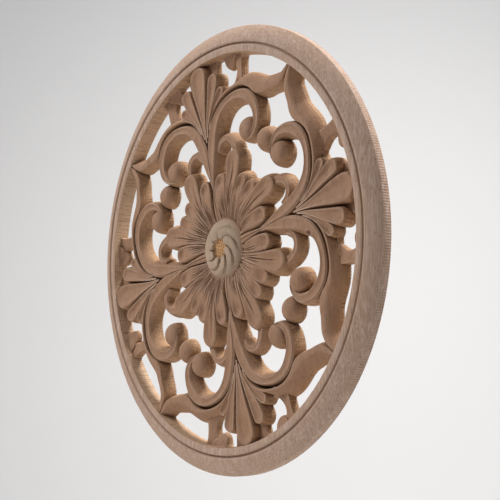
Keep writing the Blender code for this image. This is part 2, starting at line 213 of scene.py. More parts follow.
class Workbench:
    # keeps every shell of the carving as an object, until one Boolean makes them one body
    mergeDistance = 2e-7
    sliverLength = 1e-8
    slabWidth = 0.4
    slabDepth = 0.04

    def __init__(self):
        self.shells = []

    def add(self, shell, quarter=0, mirrored=False):
        # the shell turned by a number of quarters, after it is mirrored if asked, and taken
        # from the plan in millimetres to the scene in metres: (x, y, h) to (x, -h, y)
        vertices, faces = shell
        x = -vertices[:, 0] if mirrored else vertices[:, 0]
        c = round(math.cos(quarter * math.pi / 2))
        s = round(math.sin(quarter * math.pi / 2))
        y = vertices[:, 1]
        placed = np.stack([c * x - s * y, -vertices[:, 2], s * x + c * y], -1) * mm
        mesh = filled(bpy.data.meshes.new("shell"), placed, faces)
        tidy = bmesh.new()
        tidy.from_mesh(mesh)
        bmesh.ops.remove_doubles(tidy, verts=tidy.verts, dist=self.mergeDistance)
        bmesh.ops.dissolve_degenerate(tidy, edges=tidy.edges, dist=self.sliverLength)
        bmesh.ops.recalc_face_normals(tidy, faces=tidy.faces)
        tidy.to_mesh(mesh)
        tidy.free()
        self.shells.append(bpy.data.objects.new(f"shell{len(self.shells)}", mesh))

    def addEachWay(self, shell, mirrored=True):
        # the shell in each of the four quarters, with its mirror image if asked
        for quarter in range(4):
            self.add(shell, quarter, False)
            if mirrored:
                self.add(shell, quarter, True)

    def joined(self, name):
        # one closed body: the union of all the shells, and of it what lies in a slab whose back
        # is the plane y = 0, which cuts the carving off flat there
        first = self.shells[0]
        bpy.context.scene.collection.objects.link(first)
        others = bpy.data.collections.new("others")
        bpy.context.scene.collection.children.link(others)
        for shell in self.shells[1:]:
            others.objects.link(shell)
        join = first.modifiers.new("oneBody", "BOOLEAN")
        join.operation = "UNION"
        join.solver = "MANIFOLD"
        join.operand_type = "COLLECTION"
        join.collection = others
        bpy.ops.mesh.primitive_cube_add(size=1.0)
        slab = bpy.context.object
        corners = np.empty(len(slab.data.vertices) * 3, dtype=np.float32)
        slab.data.vertices.foreach_get("co", corners)
        corners = corners.reshape(-1, 3) * self.slabWidth
        corners[:, 1] = np.where(corners[:, 1] > 0.0, 0.0, -self.slabDepth)
        slab.data.vertices.foreach_set("co", corners.astype(np.float32).ravel())
        trim = first.modifiers.new("flatBack", "BOOLEAN")
        trim.operation = "INTERSECT"
        trim.solver = "MANIFOLD"
        trim.object = slab
        view = bpy.context.evaluated_depsgraph_get()
        mesh = bpy.data.meshes.new_from_object(first.evaluated_get(view))
        for helper in self.shells + [slab]:
            bpy.data.objects.remove(helper, do_unlink=True)
        bpy.data.collections.remove(others)
        mesh.name = name
        piece = bpy.data.objects.new(name, mesh)
        bpy.context.scene.collection.objects.link(piece)
        return piece


def carveStrip(bench, part, relief):
    # the strip that a dictionary describes, in every quarter: its route of (x, y, half width,
    # height) with a grid of (rows, columns), its round tip, its flanks as shellOf has them, and
    # whether it is mirrored too
    top = stripTop(part["route"], *part["grid"], relief, part.get("tip", 0.0))
    flanks = {key: part[key] for key in ("flare", "foot", "flareRows", "curl", "floor") if key in part}
    bench.addEachWay(shellOf(top, **flanks), part.get("mirrored", True))


# Rim: a rounded bead, a V groove, a slope down to the outer edge, and a ribbed outer wall
rim = {
    "radius": 150.0,
    "height": 11.0,
    "outerEdge": 5.8,
    "rounding": 0.35,
    "grooveRadius": 137.4,
    "grooveWidth": 1.7,
    "grooveDepth": 1.7,
    "innerRadius": 131.4,
    "innerDraft": 0.5,
    "draftTo": 3.0,
    "beadFoot": 0.9,
    "beadRise": 0.95,
    "beadPower": 0.6,
    "beadPoints": 9,
    "slope": [(0.1, 0.15), (0.4, 0.0), (1.6, 0.2), (6.0, 2.25)],
    "wallStep": 2.4,
    "chamfer": (0.4, 0.6),
    "floor": -1.2,
    "segments": 320,
}


def rimSection():
    # closed section from the foot of the inner wall, over the top, to the foot of the outer one.
    # The bead is a superellipse, the slope is (out from the groove, down from the top), and the
    # outer wall ends in a small chamfer (in, up) at the back
    top = rim["height"]
    inner = rim["innerRadius"]
    outer = rim["radius"]
    edge = rim["outerEdge"]
    rounding = rim["rounding"]
    foot = inner - rim["innerDraft"]
    bead = rim["grooveRadius"] - rim["grooveWidth"] / 2
    slopeStart = rim["grooveRadius"] + rim["grooveWidth"] / 2
    middle = (inner + bead) / 2
    half = (bead - inner) / 2
    beadFoot = top - rim["beadFoot"]
    turn = np.linspace(math.pi, 0.0, rim["beadPoints"])
    beadTop = [
        (middle + half * math.cos(a), beadFoot + rim["beadRise"] * math.sin(a) ** rim["beadPower"])
        for a in turn
    ]
    slope = [(slopeStart + out, top - down) for out, down in rim["slope"]]
    corner = [
        (outer - rounding, edge + 0.15),
        (outer - rounding * 0.3, edge - rounding * 0.2),
        (outer, edge - rounding),
        (outer, edge - rim["wallStep"]),
    ]
    inwards, upwards = rim["chamfer"]
    return (
        [(foot, rim["floor"]), (foot, rim["draftTo"])]
        + beadTop
        + [(rim["grooveRadius"], top - rim["grooveDepth"])]
        + slope
        + corner
        + [(outer, upwards), (outer - inwards, 0.0), (outer - inwards, rim["floor"])]
    )


# Palmettes: (x, y, half width, height) from the root to the tip of each leaflet
palmette = {
    "middle": {
        "route": [
            (0, 76, 0.5, 9.0), (0, 86, 1.6, 9.6), (0, 95, 3.1, 9.9), (0, 104, 5.0, 10.1),
            (0, 113, 7.2, 10.2), (0, 122, 8.5, 10.2), (0, 131.6, 8.6, 10.0),
        ],
        "grid": (30, 19),
        "tip": 8.4,
        "flare": (1.3, 1.3),
        "foot": 2.5,
        "floor": -1.0,
        "mirrored": False,
        "spoon": (0.80, 0.22),
        "edgeWidth": 0.0975,
    },
    "inner": {
        "route": [
            (1.7, 79.0, 0.5, 9.0), (3.9, 87.5, 1.2, 9.6), (7.2, 95.3, 2.4, 9.9), (11.3, 104.6, 3.9, 10.0),
            (14.5, 112.6, 5.0, 10.0), (17.0, 120.2, 5.1, 9.8),
        ],
        "grid": (26, 15),
        "tip": 5.0,
        "flare": (1.3, 1.3),
        "foot": 2.5,
        "floor": -1.1,
        "spoon": (0.78, 0.17),
        "edgeWidth": 0.13,
    },
    "outer": {
        "route": [
            (4.6, 83.6, 0.5, 8.9), (7.3, 89.4, 1.0, 9.4), (10.4, 94.2, 1.5, 9.6), (14.0, 98.6, 2.3, 9.7),
            (17.7, 102.3, 3.1, 9.6), (21.0, 105.1, 3.6, 9.4), (24.0, 107.4, 3.5, 9.1),
        ],
        "grid": (20, 13),
        "tip": 3.4,
        "flare": (1.5, 1.2),
        "foot": 2.5,
        "floor": -1.2,
        "spoon": (0.78, 0.20),
        "edgeWidth": 0.156,
    },
    "ground": {
        "route": [
            (0, 78, 1.2, 7.2), (0, 86, 4.6, 7.4), (0, 93, 8.8, 7.4), (0, 99, 12.6, 7.2),
            (0, 106, 13.4, 6.8), (0, 113, 13.6, 5.8),
        ],
        "grid": (12, 9),
        "flare": (0.5, 0.5),
        "foot": 2.5,
        "floor": -1.25,
        "mirrored": False,
        "crown": 0.6,
    },
    "web": {
        "route": [
            (10.5, 113, 3.5, 4.2), (11.3, 122, 4.2, 4.4), (12.0, 131, 5.0, 4.8),
        ],
        "grid": (6, 3),
        "flare": (0.3, 0.3),
        "foot": 1.0,
        "flareRows": 1,
        "floor": -1.28,
        "crown": 0.2,
    },
    "hollowDepth": 1.7,
    "hollowShares": (0.45, 0.55),
    "edgeDrop": 0.45,
}


def leafletRelief(part):
    # a thin rounded edge, and inside it a hollow shared between a shallow scoop and a spoon near
    # the tip, where the depth follows exp(-((along - spoon's place) / spoon's length) ** 2)
    spoonAt, spoonLength = part["spoon"]
    scoop, spoon = palmette["hollowShares"]
    edge = part["edgeWidth"]

    def relief(side, rho, along):
        inside = 1.0 - ease(rho, 0.30, 1.0 - edge)
        place = np.exp(-(((along - spoonAt) / spoonLength) ** 2))
        rolled = ease(rho, 1.0 - edge * 0.55, 1.0)
        hollow = palmette["hollowDepth"] * (scoop * ease(along, 0.0, 0.4) + spoon * place)
        return -palmette["edgeDrop"] * rolled - inside * hollow
    return relief


def crownRelief(part):
    # highest along the middle, and lower by the crown at the sides, as the square of side
    return lambda side, rho, along: -part["crown"] * side**2


def carvePalmettes(bench):
    # five round-ended leaflets fan out of the stem, one in the middle and two pairs, over the
    # floor of the grooves between them and a low web that ties them to the rim
    for key in ("middle", "inner", "outer"):
        carveStrip(bench, palmette[key], leafletRelief(palmette[key]))
    for key in ("ground", "web"):
        carveStrip(bench, palmette[key], crownRelief(palmette[key]))


# Scrolls: the ribbon climbs the stem, bends over and curls in under its berry. The curl is a
# lower C beside the stem, which joins the scroll to the flower
scroll = {
    "ribbon": {
        "route": [
            (0.6, 40.0, 0.9, 8.0), (0.9, 48.0, 1.2, 9.3), (2.3, 57.0, 2.5, 9.8), (4.1, 68.0, 4.0, 10.0),
            (7.3, 78.0, 4.2, 10.1), (13.0, 87.6, 3.7, 10.1), (20.4, 93.4, 3.0, 10.1),
            (29.7, 96.2, 2.6, 10.1), (38.6, 96.0, 2.9, 10.1), (46.6, 92.8, 3.4, 10.1),
            (52.7, 86.0, 3.8, 10.1), (55.2, 77.5, 3.1, 10.0), (54.0, 70.4, 2.6, 9.9),
            (50.0, 65.6, 1.9, 9.6), (45.2, 63.3, 1.2, 9.2), (40.5, 63.2, 0.7, 8.8),
        ],
        "grid": (88, 15),
        "flare": (3.2, 1.3),
        "foot": 2.0,
        "floor": -1.3,
    },
    "curl": {
        "route": [
            (9.0, 66.0, 2.0, 8.2), (12.6, 71.0, 2.0, 8.1), (18.0, 72.6, 2.0, 8.0), (22.8, 70.6, 2.1, 7.9),
            (25.6, 65.6, 2.4, 7.7), (26.6, 59.5, 2.6, 7.4), (26.6, 54.0, 2.4, 7.0),
        ],
        "grid": (30, 13),
        "flare": (2.0, 2.4),
        "foot": 1.5,
        "floor": -1.4,
    },
    "hollow": 0.75,
}


def ribbonRelief(side, rho, along):
    # a scooped face, a ridge near the outer side and a fall from it to the groove outside
    hollow = scroll["hollow"] * (0.5 + 0.5 * ease(along, 0.12, 0.3))
    face = -hollow * np.clip(1.0 - ((side + 0.12) / 0.72) ** 2, 0.0, 1.0)
    return face - 0.9 * ease(side, 0.62, 1.0) - 0.45 * ease(-side, 0.84, 1.0)


def curlRelief(side, rho, along):
    # a band with rolled edges, slightly scooped
    return -0.35 * np.clip(1.0 - (side / 0.7) ** 2, 0.0, 1.0) - 0.5 * ease(np.abs(side), 0.72, 1.0)


def carveScrolls(bench):
    # both bands run along their routes and lean out more on the inside of the bend
    carveStrip(bench, scroll["ribbon"], ribbonRelief)
    carveStrip(bench, scroll["curl"], curlRelief)


# Pointed leaf: a thin ridge along the groove outside the scroll, which falls away outwards
# and ends in a point at the corner of the rim. Its outer flank swells into a broad slope
leaf = {
    "route": [
        (11.5, 93.6, 0.3, 9.0), (15.0, 96.9, 0.5, 9.6), (20.0, 99.9, 0.7, 9.9), (25.0, 101.5, 0.75, 10.0),
        (30.0, 102.2, 0.8, 10.0), (37.0, 102.3, 0.8, 10.0), (43.0, 101.6, 1.0, 10.0),
        (48.6, 99.7, 1.5, 10.0), (54.0, 96.0, 2.0, 10.0), (58.6, 91.8, 2.9, 9.9), (64.0, 89.3, 2.7, 9.8),
        (70.0, 88.5, 2.1, 9.8), (75.0, 87.6, 2.0, 9.8), (79.0, 87.3, 2.0, 9.8), (83.0, 88.1, 1.9, 9.8),
        (87.5, 90.6, 1.5, 9.8), (92.5, 94.0, 0.5, 9.8),
    ],
    "grid": (64, 7),
    "flare": (
        [(0.0, 1.0), (0.4, 1.3), (0.55, 2.4), (1.0, 2.4)],
        [(0.0, 0.6), (0.14, 0.9), (0.26, 4.0), (0.38, 6.8), (0.8, 6.6), (1.0, 4.0)],
    ),
    "foot": 2.2,
    "flareRows": 5,
    "curl": 1.4,
    "floor": -1.5,
}


def leafRelief(side, rho, along):
    # nearly flat, with both edges rolled over
    return -0.3 * ease(np.abs(side), 0.55, 1.0)


def carveLeaves(bench):
    # one ridge beside each scroll
    carveStrip(bench, leaf, leafRelief)


# Bridges: a low bar from the leaf to the rim, a lip that runs on from it round the opening,
# and a cusp that hangs down from the rim into the opening
ties = {
    "bridge": {
        "route": [
            (36.0, 104.0, 6.0, 5.0), (38.6, 109.5, 4.3, 5.1), (39.9, 114.5, 3.6, 5.1),
            (40.3, 119.0, 4.3, 5.3), (40.5, 124.0, 6.5, 5.7), (41.0, 129.0, 8.0, 6.2),
        ],
        "grid": (18, 9),
        "flare": (0.7, 0.7),
        "foot": 1.0,
        "floor": -1.6,
    },
    "lip": {
        "route": [
            (39.5, 107.5, 1.3, 5.6), (34.0, 105.1, 1.2, 5.4), (29.0, 104.4, 1.2, 4.9),
            (24.5, 105.4, 1.0, 4.2),
        ],
        "grid": (14, 7),
        "flare": (1.0, 1.0),
        "foot": 1.0,
        "floor": -1.65,
    },
    "cusp": {
        "route": [
            (33.5, 130.5, 8.6, 9.2), (33.0, 126.8, 7.8, 7.4), (30.9, 122.8, 5.0, 5.0),
            (29.9, 118.7, 3.2, 3.2),
        ],
        "grid": (14, 11),
        "tip": 3.0,
        "flare": (0.6, 0.6),
        "foot": 0.6,
        "floor": -1.7,
    },
    "tilt": 1.1,
}


def bridgeRelief(side, rho, along):
    # tilted down towards the opening, with rolled edges
    return -ties["tilt"] * side - 0.35 * ease(np.abs(side), 0.75, 1.0)


def cuspRelief(side, rho, along):
    # slightly scooped, with rolled edges
    return -0.5 * np.clip(1.0 - (rho / 0.8) ** 2, 0.0, 1.0) - 0.35 * ease(rho, 0.8, 1.0)


def carveTies(bench):
    # the bar and the lip are low strips, and the cusp is one with a round tip
    carveStrip(bench, ties["bridge"], bridgeRelief)
    carveStrip(bench, ties["lip"], cuspRelief)
    carveStrip(bench, ties["cusp"], cuspRelief)


# Berries: one in each scroll, and one in each quarter between two scrolls
berries = {
    "inScroll": (42.2, 69.6, 9.0, 11.1),
    "between": (57.0, 57.0, 8.9, 10.3),
    "power": 2.7,
    "betweenPower": 2.4,
    "grid": (36, 12),
    "foot": -0.5,
    "floor": -1.8,
    "betweenFloor": -1.9,
}


def carveBerries(bench):
    # domes (x, y, radius, crest) that stand on the back, the single one a little rounder
    paired = domeTop(*berries["inScroll"], *berries["grid"], berries["power"])
    single = domeTop(*berries["between"], *berries["grid"], berries["betweenPower"])
    bench.addEachWay(shellOf(paired, ring=True, foot=berries["foot"], floor=berries["floor"]))
    lone = shellOf(single, ring=True, foot=berries["foot"], floor=berries["betweenFloor"])
    bench.addEachWay(lone, mirrored=False)


# Flower: petals from the bud outwards, each with its spoon as (place and length along, depth)
# and its veins as (place across at the root, place across at the end, start and end along,
# depth)
flower = {
    "stemPetal": {
        "route": [
            (5.3, 16.5, 2.0, 6.0), (6.6, 22.5, 2.7, 8.3), (7.5, 28.5, 3.9, 10.0), (8.0, 34.0, 4.9, 10.3),
            (8.4, 39.0, 5.4, 10.1), (9.1, 44.5, 5.4, 9.8), (10.3, 49.8, 5.3, 9.4),
        ],
        "grid": (32, 27),
        "tip": 5.3,
        "flare": (1.8, 1.4),
        "floor": -2.0,
        "spoon": (0.84, 0.12, 1.7),
        "veins": [
            (0.02, 0.1, 0.10, 0.56, 1.0), (-0.3, -0.24, 0.12, 0.66, 1.3), (-0.62, -0.56, 0.12, 0.70, 1.3),
            (0.4, 0.44, 0.14, 0.50, 1.0), (0.72, 0.7, 0.16, 0.42, 0.8),
        ],
    },
    "longPetal": {
        "route": [
            (8.7, 14.6, 1.5, 6.0), (12.0, 21.0, 2.0, 8.3), (14.5, 27.0, 2.7, 9.9), (17.1, 33.3, 3.8, 10.3),
            (19.8, 39.6, 5.2, 10.1), (22.4, 46.2, 6.5, 9.9), (24.5, 53.0, 7.0, 9.7),
            (26.7, 60.9, 6.8, 9.3),
        ],
        "grid": (38, 29),
        "tip": 7.2,
        "flare": (2.4, 2.0),
        "floor": -2.1,
        "spoon": (0.78, 0.20, 1.2),
        "veins": [
            (0.05, 0.08, 0.10, 0.90, 1.5), (-0.40, -0.42, 0.12, 0.58, 1.3), (0.46, 0.5, 0.12, 0.54, 1.3),
            (-0.78, -0.74, 0.14, 0.46, 0.9), (0.8, 0.78, 0.14, 0.42, 0.8),
        ],
    },
    "cornerPetal": {
        "route": [
            (11.9, 12.9, 1.7, 6.0), (16.6, 19.0, 2.2, 8.3), (20.4, 24.4, 3.1, 9.9),
            (24.2, 29.6, 4.1, 10.1), (27.6, 34.2, 4.7, 9.7), (30.4, 38.0, 4.8, 9.3),
            (33.4, 41.8, 4.6, 8.9),
        ],
        "grid": (30, 23),
        "tip": 4.9,
        "flare": (1.8, 2.0),
        "floor": -2.2,
        "spoon": (0.80, 0.15, 1.7),
        "veins": [
            (0.08, 0.14, 0.10, 0.64, 1.3), (-0.44, -0.42, 0.12, 0.54, 1.2), (0.56, 0.58, 0.12, 0.48, 1.0),
        ],
    },
    "stem": {
        "route": [
            (0, 17, 2.6, 6.8), (0, 24, 2.5, 8.3), (0, 31, 2.1, 8.9), (0, 38, 1.4, 8.9), (0, 44, 0.8, 8.6),
        ],
        "grid": (20, 11),
        "flare": (1.2, 1.2),
        "floor": -2.25,
        "mirrored": False,
    },
    "ground": {
        "radius": 36.0,
        "height": 5.0,
        "grid": (48, 8),
        "power": 6.0,
        "foot": -0.5,
        "floor": -2.3,
    },
    "veinWidth": 1.35,
    "veinFade": 0.06,
    "edgeDrop": 0.45,
    "scoop": 0.25,
}


def petalRelief(part):
    # a thin rounded edge, a spoon near the tip as on a leaflet, and V-cut veins that fan out
    # of the root: each runs straight from its place at the root to the one at its end, and
    # its depth fades with the cube of the share along it
    spoonAt, spoonLength, spoonDepth = part["spoon"]
    shares = np.linspace(0.0, 1.0, len(part["route"]))
    halves = np.array(part["route"])[:, 2]

    def relief(side, rho, along):
        inside = 1.0 - ease(rho, 0.30, 0.88)
        place = np.exp(-(((along - spoonAt) / spoonLength) ** 2))
        h = -flower["edgeDrop"] * ease(rho, 0.86, 1.0) - inside * (spoonDepth * place + flower["scoop"])
        for atRoot, atEnd, start, end, depth in part["veins"]:
            share = np.clip((along - start) / (end - start), 0.0, 1.0)
            distance = (side - (atRoot + (atEnd - atRoot) * share)) * np.interp(along, shares, halves)
            fade = ease(along, start - flower["veinFade"], start + flower["veinFade"]) * (1.0 - share**3)
            h = h - depth * fade * cut(distance, flower["veinWidth"])
        return h
    return relief


# Bud: a dome whose eight lobes overlap in a whorl round a cross-hatched eye
bud = {
    "outline": [(0.0, 11.0), (7.0, 11.7), (11.4, 11.6), (14.8, 10.8), (18.2, 8.7), (21.5, 5.8)],
    "lobes": 8,
    "lobeReach": 18.4,
    "lobeStep": 1.5,
    "bend": 1.05,
    "turn": 0.12,
    "eyeRadius": 6.6,
    "eyeDepth": 1.5,
    "hatchPitch": 2.2,
    "hatchAngle": -27.0,
    "hatchDepth": 0.7,
    "eyeTop": 11.5,
    "eyeCrown": 0.012,
    "cornerReach": 3.4,
    "cornerDepth": 2.2,
    "footRadius": 21.5,
    "whorlRadius": 17.0,
    "middleRadius": 6.4,
    "segments": 168,
    "floor": -2.4,
}


def budTop():
    # the bud as rings from its foot to its middle: height = outline by radius + lobes, and
    # the eye's floor inside
    skirt = np.linspace(bud["footRadius"], bud["whorlRadius"], 7)[:-1]
    whorl = np.linspace(bud["whorlRadius"], bud["middleRadius"], 21)[:-1]
    middle = np.linspace(bud["middleRadius"], 0.0, 15)
    radius = np.concatenate([skirt, whorl, middle])[None, :]
    turn = np.linspace(0.0, 2.0 * math.pi, bud["segments"], endpoint=False)[:, None]
    step = 2.0 * math.pi / bud["lobes"]
    reach = np.clip((radius - bud["eyeRadius"]) / (bud["lobeReach"] - bud["eyeRadius"]), 0.0, 1.2)
    # each crease leaves the eye squarely and bends back as it nears the edge
    phase = ((turn + bud["bend"] * reach**2) / step + bud["turn"]) % 1.0
    # a lobe swells towards its own crease and drops steeply under the next one
    swell = np.sin(phase * math.pi / 2) ** 0.8 * (1.0 - ease(phase, 0.93, 1.0))
    onLobes = ease(radius, 6.2, 7.6) * (1.0 - ease(radius, 16.4, 19.4))
    dome = np.interp(radius, *np.transpose(bud["outline"]))
    dome = dome + 0.25 * (np.roll(dome, 1, axis=1) + np.roll(dome, -1, axis=1) - 2.0 * dome)
    # the inner end of each lobe is round, with a deep corner on each side of it
    inner = np.clip(1.0 - (radius - bud["eyeRadius"]) / bud["cornerReach"], 0.0, 1.0)
    corner = inner * (2.0 * np.abs(phase - 0.5)) ** 4
    h = dome + onLobes * (bud["lobeStep"] * (swell - 0.75)) - bud["cornerDepth"] * corner * (radius > 6.0)
    # the eye is a crowned floor with two sets of V cuts across it
    angle = math.radians(bud["hatchAngle"])
    across = [radius * np.cos(turn - angle), radius * np.sin(turn - angle)]
    ridges = [np.abs(v / bud["hatchPitch"] % 1.0 - 0.5) * 2.0 for v in across]
    hatch = np.maximum(1.0 - 2.5 * ridges[0], 1.0 - 2.5 * ridges[1]).clip(0.0)
    eye = bud["eyeTop"] - bud["eyeDepth"] - bud["hatchDepth"] * hatch
    inEye = 1.0 - ease(radius, bud["eyeRadius"] - 0.5, bud["eyeRadius"] + 0.3)
    h = h * (1.0 - inEye) + (eye - bud["eyeCrown"] * radius**2) * inEye
    h[:, -1] = h[:, -1].mean()
    return radius * np.cos(turn), radius * np.sin(turn), h


def ribRelief(side, rho, along):
    # crowned, with a V cut along the middle
    return -0.5 * side**2 - 0.7 * cut(side, 0.5)


def carveFlower(bench):
    # three petals and their mirror images in each quarter, a rib between the two beside each
    # stem, a low ground under them all and the bud in the middle
    for key in ("stemPetal", "longPetal", "cornerPetal"):
        carveStrip(bench, flower[key], petalRelief(flower[key]))
    carveStrip(bench, flower["stem"], ribRelief)
    ground = flower["ground"]
    top = domeTop(0.0, 0.0, ground["radius"], ground["height"], *ground["grid"], ground["power"])
    bench.add(shellOf(top, ring=True, foot=ground["foot"], floor=ground["floor"]))
    bench.add(shellOf(budTop(), ring=True, flareRows=1, floor=bud["floor"]))


def carve():
    # every shell of the carving, joined into one closed body of triangles
    bench = Workbench()
    bench.add(turnedShell(rimSection(), rim["segments"]))
    carvePalmettes(bench)
    carveScrolls(bench)
    carveLeaves(bench)
    carveTies(bench)
    carveBerries(bench)
    carveFlower(bench)
    print("shells:", len(bench.shells))
    piece = bench.joined("carvedWork")
    body = bmesh.new()
    body.from_mesh(piece.data)
    bmesh.ops.dissolve_degenerate(body, edges=body.edges, dist=1e-7)
    bmesh.ops.triangulate(body, faces=body.faces)
    loose = sum(1 for edge in body.edges if not edge.is_manifold)
    body.to_mesh(piece.data)
    body.free()
    print("carved body:", len(piece.data.polygons), "triangles,", loose, "open edges")
    return piece


class Wire:
    # a socket with arithmetic: an expression on it adds the Math nodes it needs
    def __init__(self, tree, socket):
        self.tree = tree
        self.socket = socket

    def reckon(self, operation, *values):
        node = self.tree.nodes.new("ShaderNodeMath")
        node.operation = operation
        for place, value in enumerate(values):
            if isinstance(value, Wire):
                self.tree.links.new(value.socket, node.inputs[place])
            else:
                node.inputs[place].default_value = value
        return Wire(self.tree, node.outputs[0])

    def __add__(self, other):
        return self.reckon("ADD", self, other)

    def __radd__(self, other):
        return self.reckon("ADD", other, self)

    def __sub__(self, other):
        return self.reckon("SUBTRACT", self, other)

    def __rsub__(self, other):
        return self.reckon("SUBTRACT", other, self)

    def __mul__(self, other):
        return self.reckon("MULTIPLY", self, other)

    def __pow__(self, other):
        return self.reckon("POWER", self, other)

    def root(self):
        return self.reckon("SQRT", self)

    def wave(self):
        return self.reckon("SINE", self)

    def size(self):
        return self.reckon("ABSOLUTE", self)

    def turnedFrom(self, other):
        # the angle of the point (other, self) round the origin
        return self.reckon("ARCTAN2", self, other)

    def between(self, low, high):
        # 0 at low, 1 at high, held inside those
        share = (self - low) * (1.0 / (high - low))
        return share.reckon("MINIMUM", share.reckon("MAXIMUM", share, 0.0), 1.0)


class Finish:
    # a material with one method for every node that isn't plain arithmetic
    def __init__(self, name):
        self.material = bpy.data.materials.new(name)
        self.material.use_nodes = True
        self.tree = self.material.node_tree
        self.shader = self.tree.nodes["Principled BSDF"]

    def node(self, kind, settings=None, sockets=None, result=0):
        # a node of the type: its settings first, then the values or links of its sockets
        made = self.tree.nodes.new("ShaderNode" + kind)
        for key, value in (settings or {}).items():
            setattr(made, key, value)
        for key, value in (sockets or {}).items():
            if isinstance(value, Wire):
                self.tree.links.new(value.socket, made.inputs[key])
            else:
                made.inputs[key].default_value = value
        if isinstance(result, tuple):
            return [Wire(self.tree, made.outputs[k]) for k in result]
        return Wire(self.tree, made.outputs[result])

    def colours(self, share, first, second, blend="MIX"):
        # the second colour over the first by the share, on a colour Mix node
        settings = {"data_type": "RGBA", "blend_type": blend}
        return self.node("Mix", settings, {0: share, 6: first, 7: second}, 2)

    def feed(self, socket, wire):
        self.tree.links.new(wire.socket, self.shader.inputs[socket])


# Wood: colours, and in millimetres the pitches of its patterns and the radii that part its zones
wood = {
    "light": (0.61, 0.460, 0.375, 1.0),
    "dark": (0.385, 0.250, 0.180, 1.0),
    "ochre": (0.44, 0.262, 0.130, 1.0),
    # the carved tone is partly painted shade, the pale wall tone is a painted highlight, the edge tone is
    # wear with painted highlight, and the dark tone is painted shade and the knot
    "carvedToneAndShade": (0.78, 0.66, 0.545, 1.0),
    "sideWallHighlightTone": (0.70, 0.50, 0.34, 1.0),
    "wornAndHighlightTone": (0.64, 0.49, 0.38, 1.0),
    "shadeAndKnotTone": (0.105, 0.044, 0.020, 1.0),
    "poreTone": (0.13, 0.062, 0.032, 1.0),
    "eyeTone": (0.62, 0.33, 0.12, 1.0),
    "budTone": (0.42, 0.325, 0.225, 1.0),
    "grainTurn": math.radians(-13.0),
    "ringCentre": (35.0, -55.0),
    "ringLean": 0.16,
    "ringDrift": 22.0,
    "ringPitch": 5.5,
    "linePitch": 1.5,
    "ribPitch": 1.7,
    "brickPitch": 1.8,
    "contourPitch": 0.9,
    "edgeReach": 0.9,
    "creaseReach": 4.0,
    "outerWallFrom": (149.2, 149.8),
    "rimWallFrom": (128.5, 130.0),
    "carvedTo": (130.5, 132.0),
    "budTo": (17.0, 21.5),
    "eyeTo": (5.8, 6.8),
    "knot": (87.0, -17.8),
    "knotTo": (2.4, 3.4),
    "bumpDepth": 0.5,
}


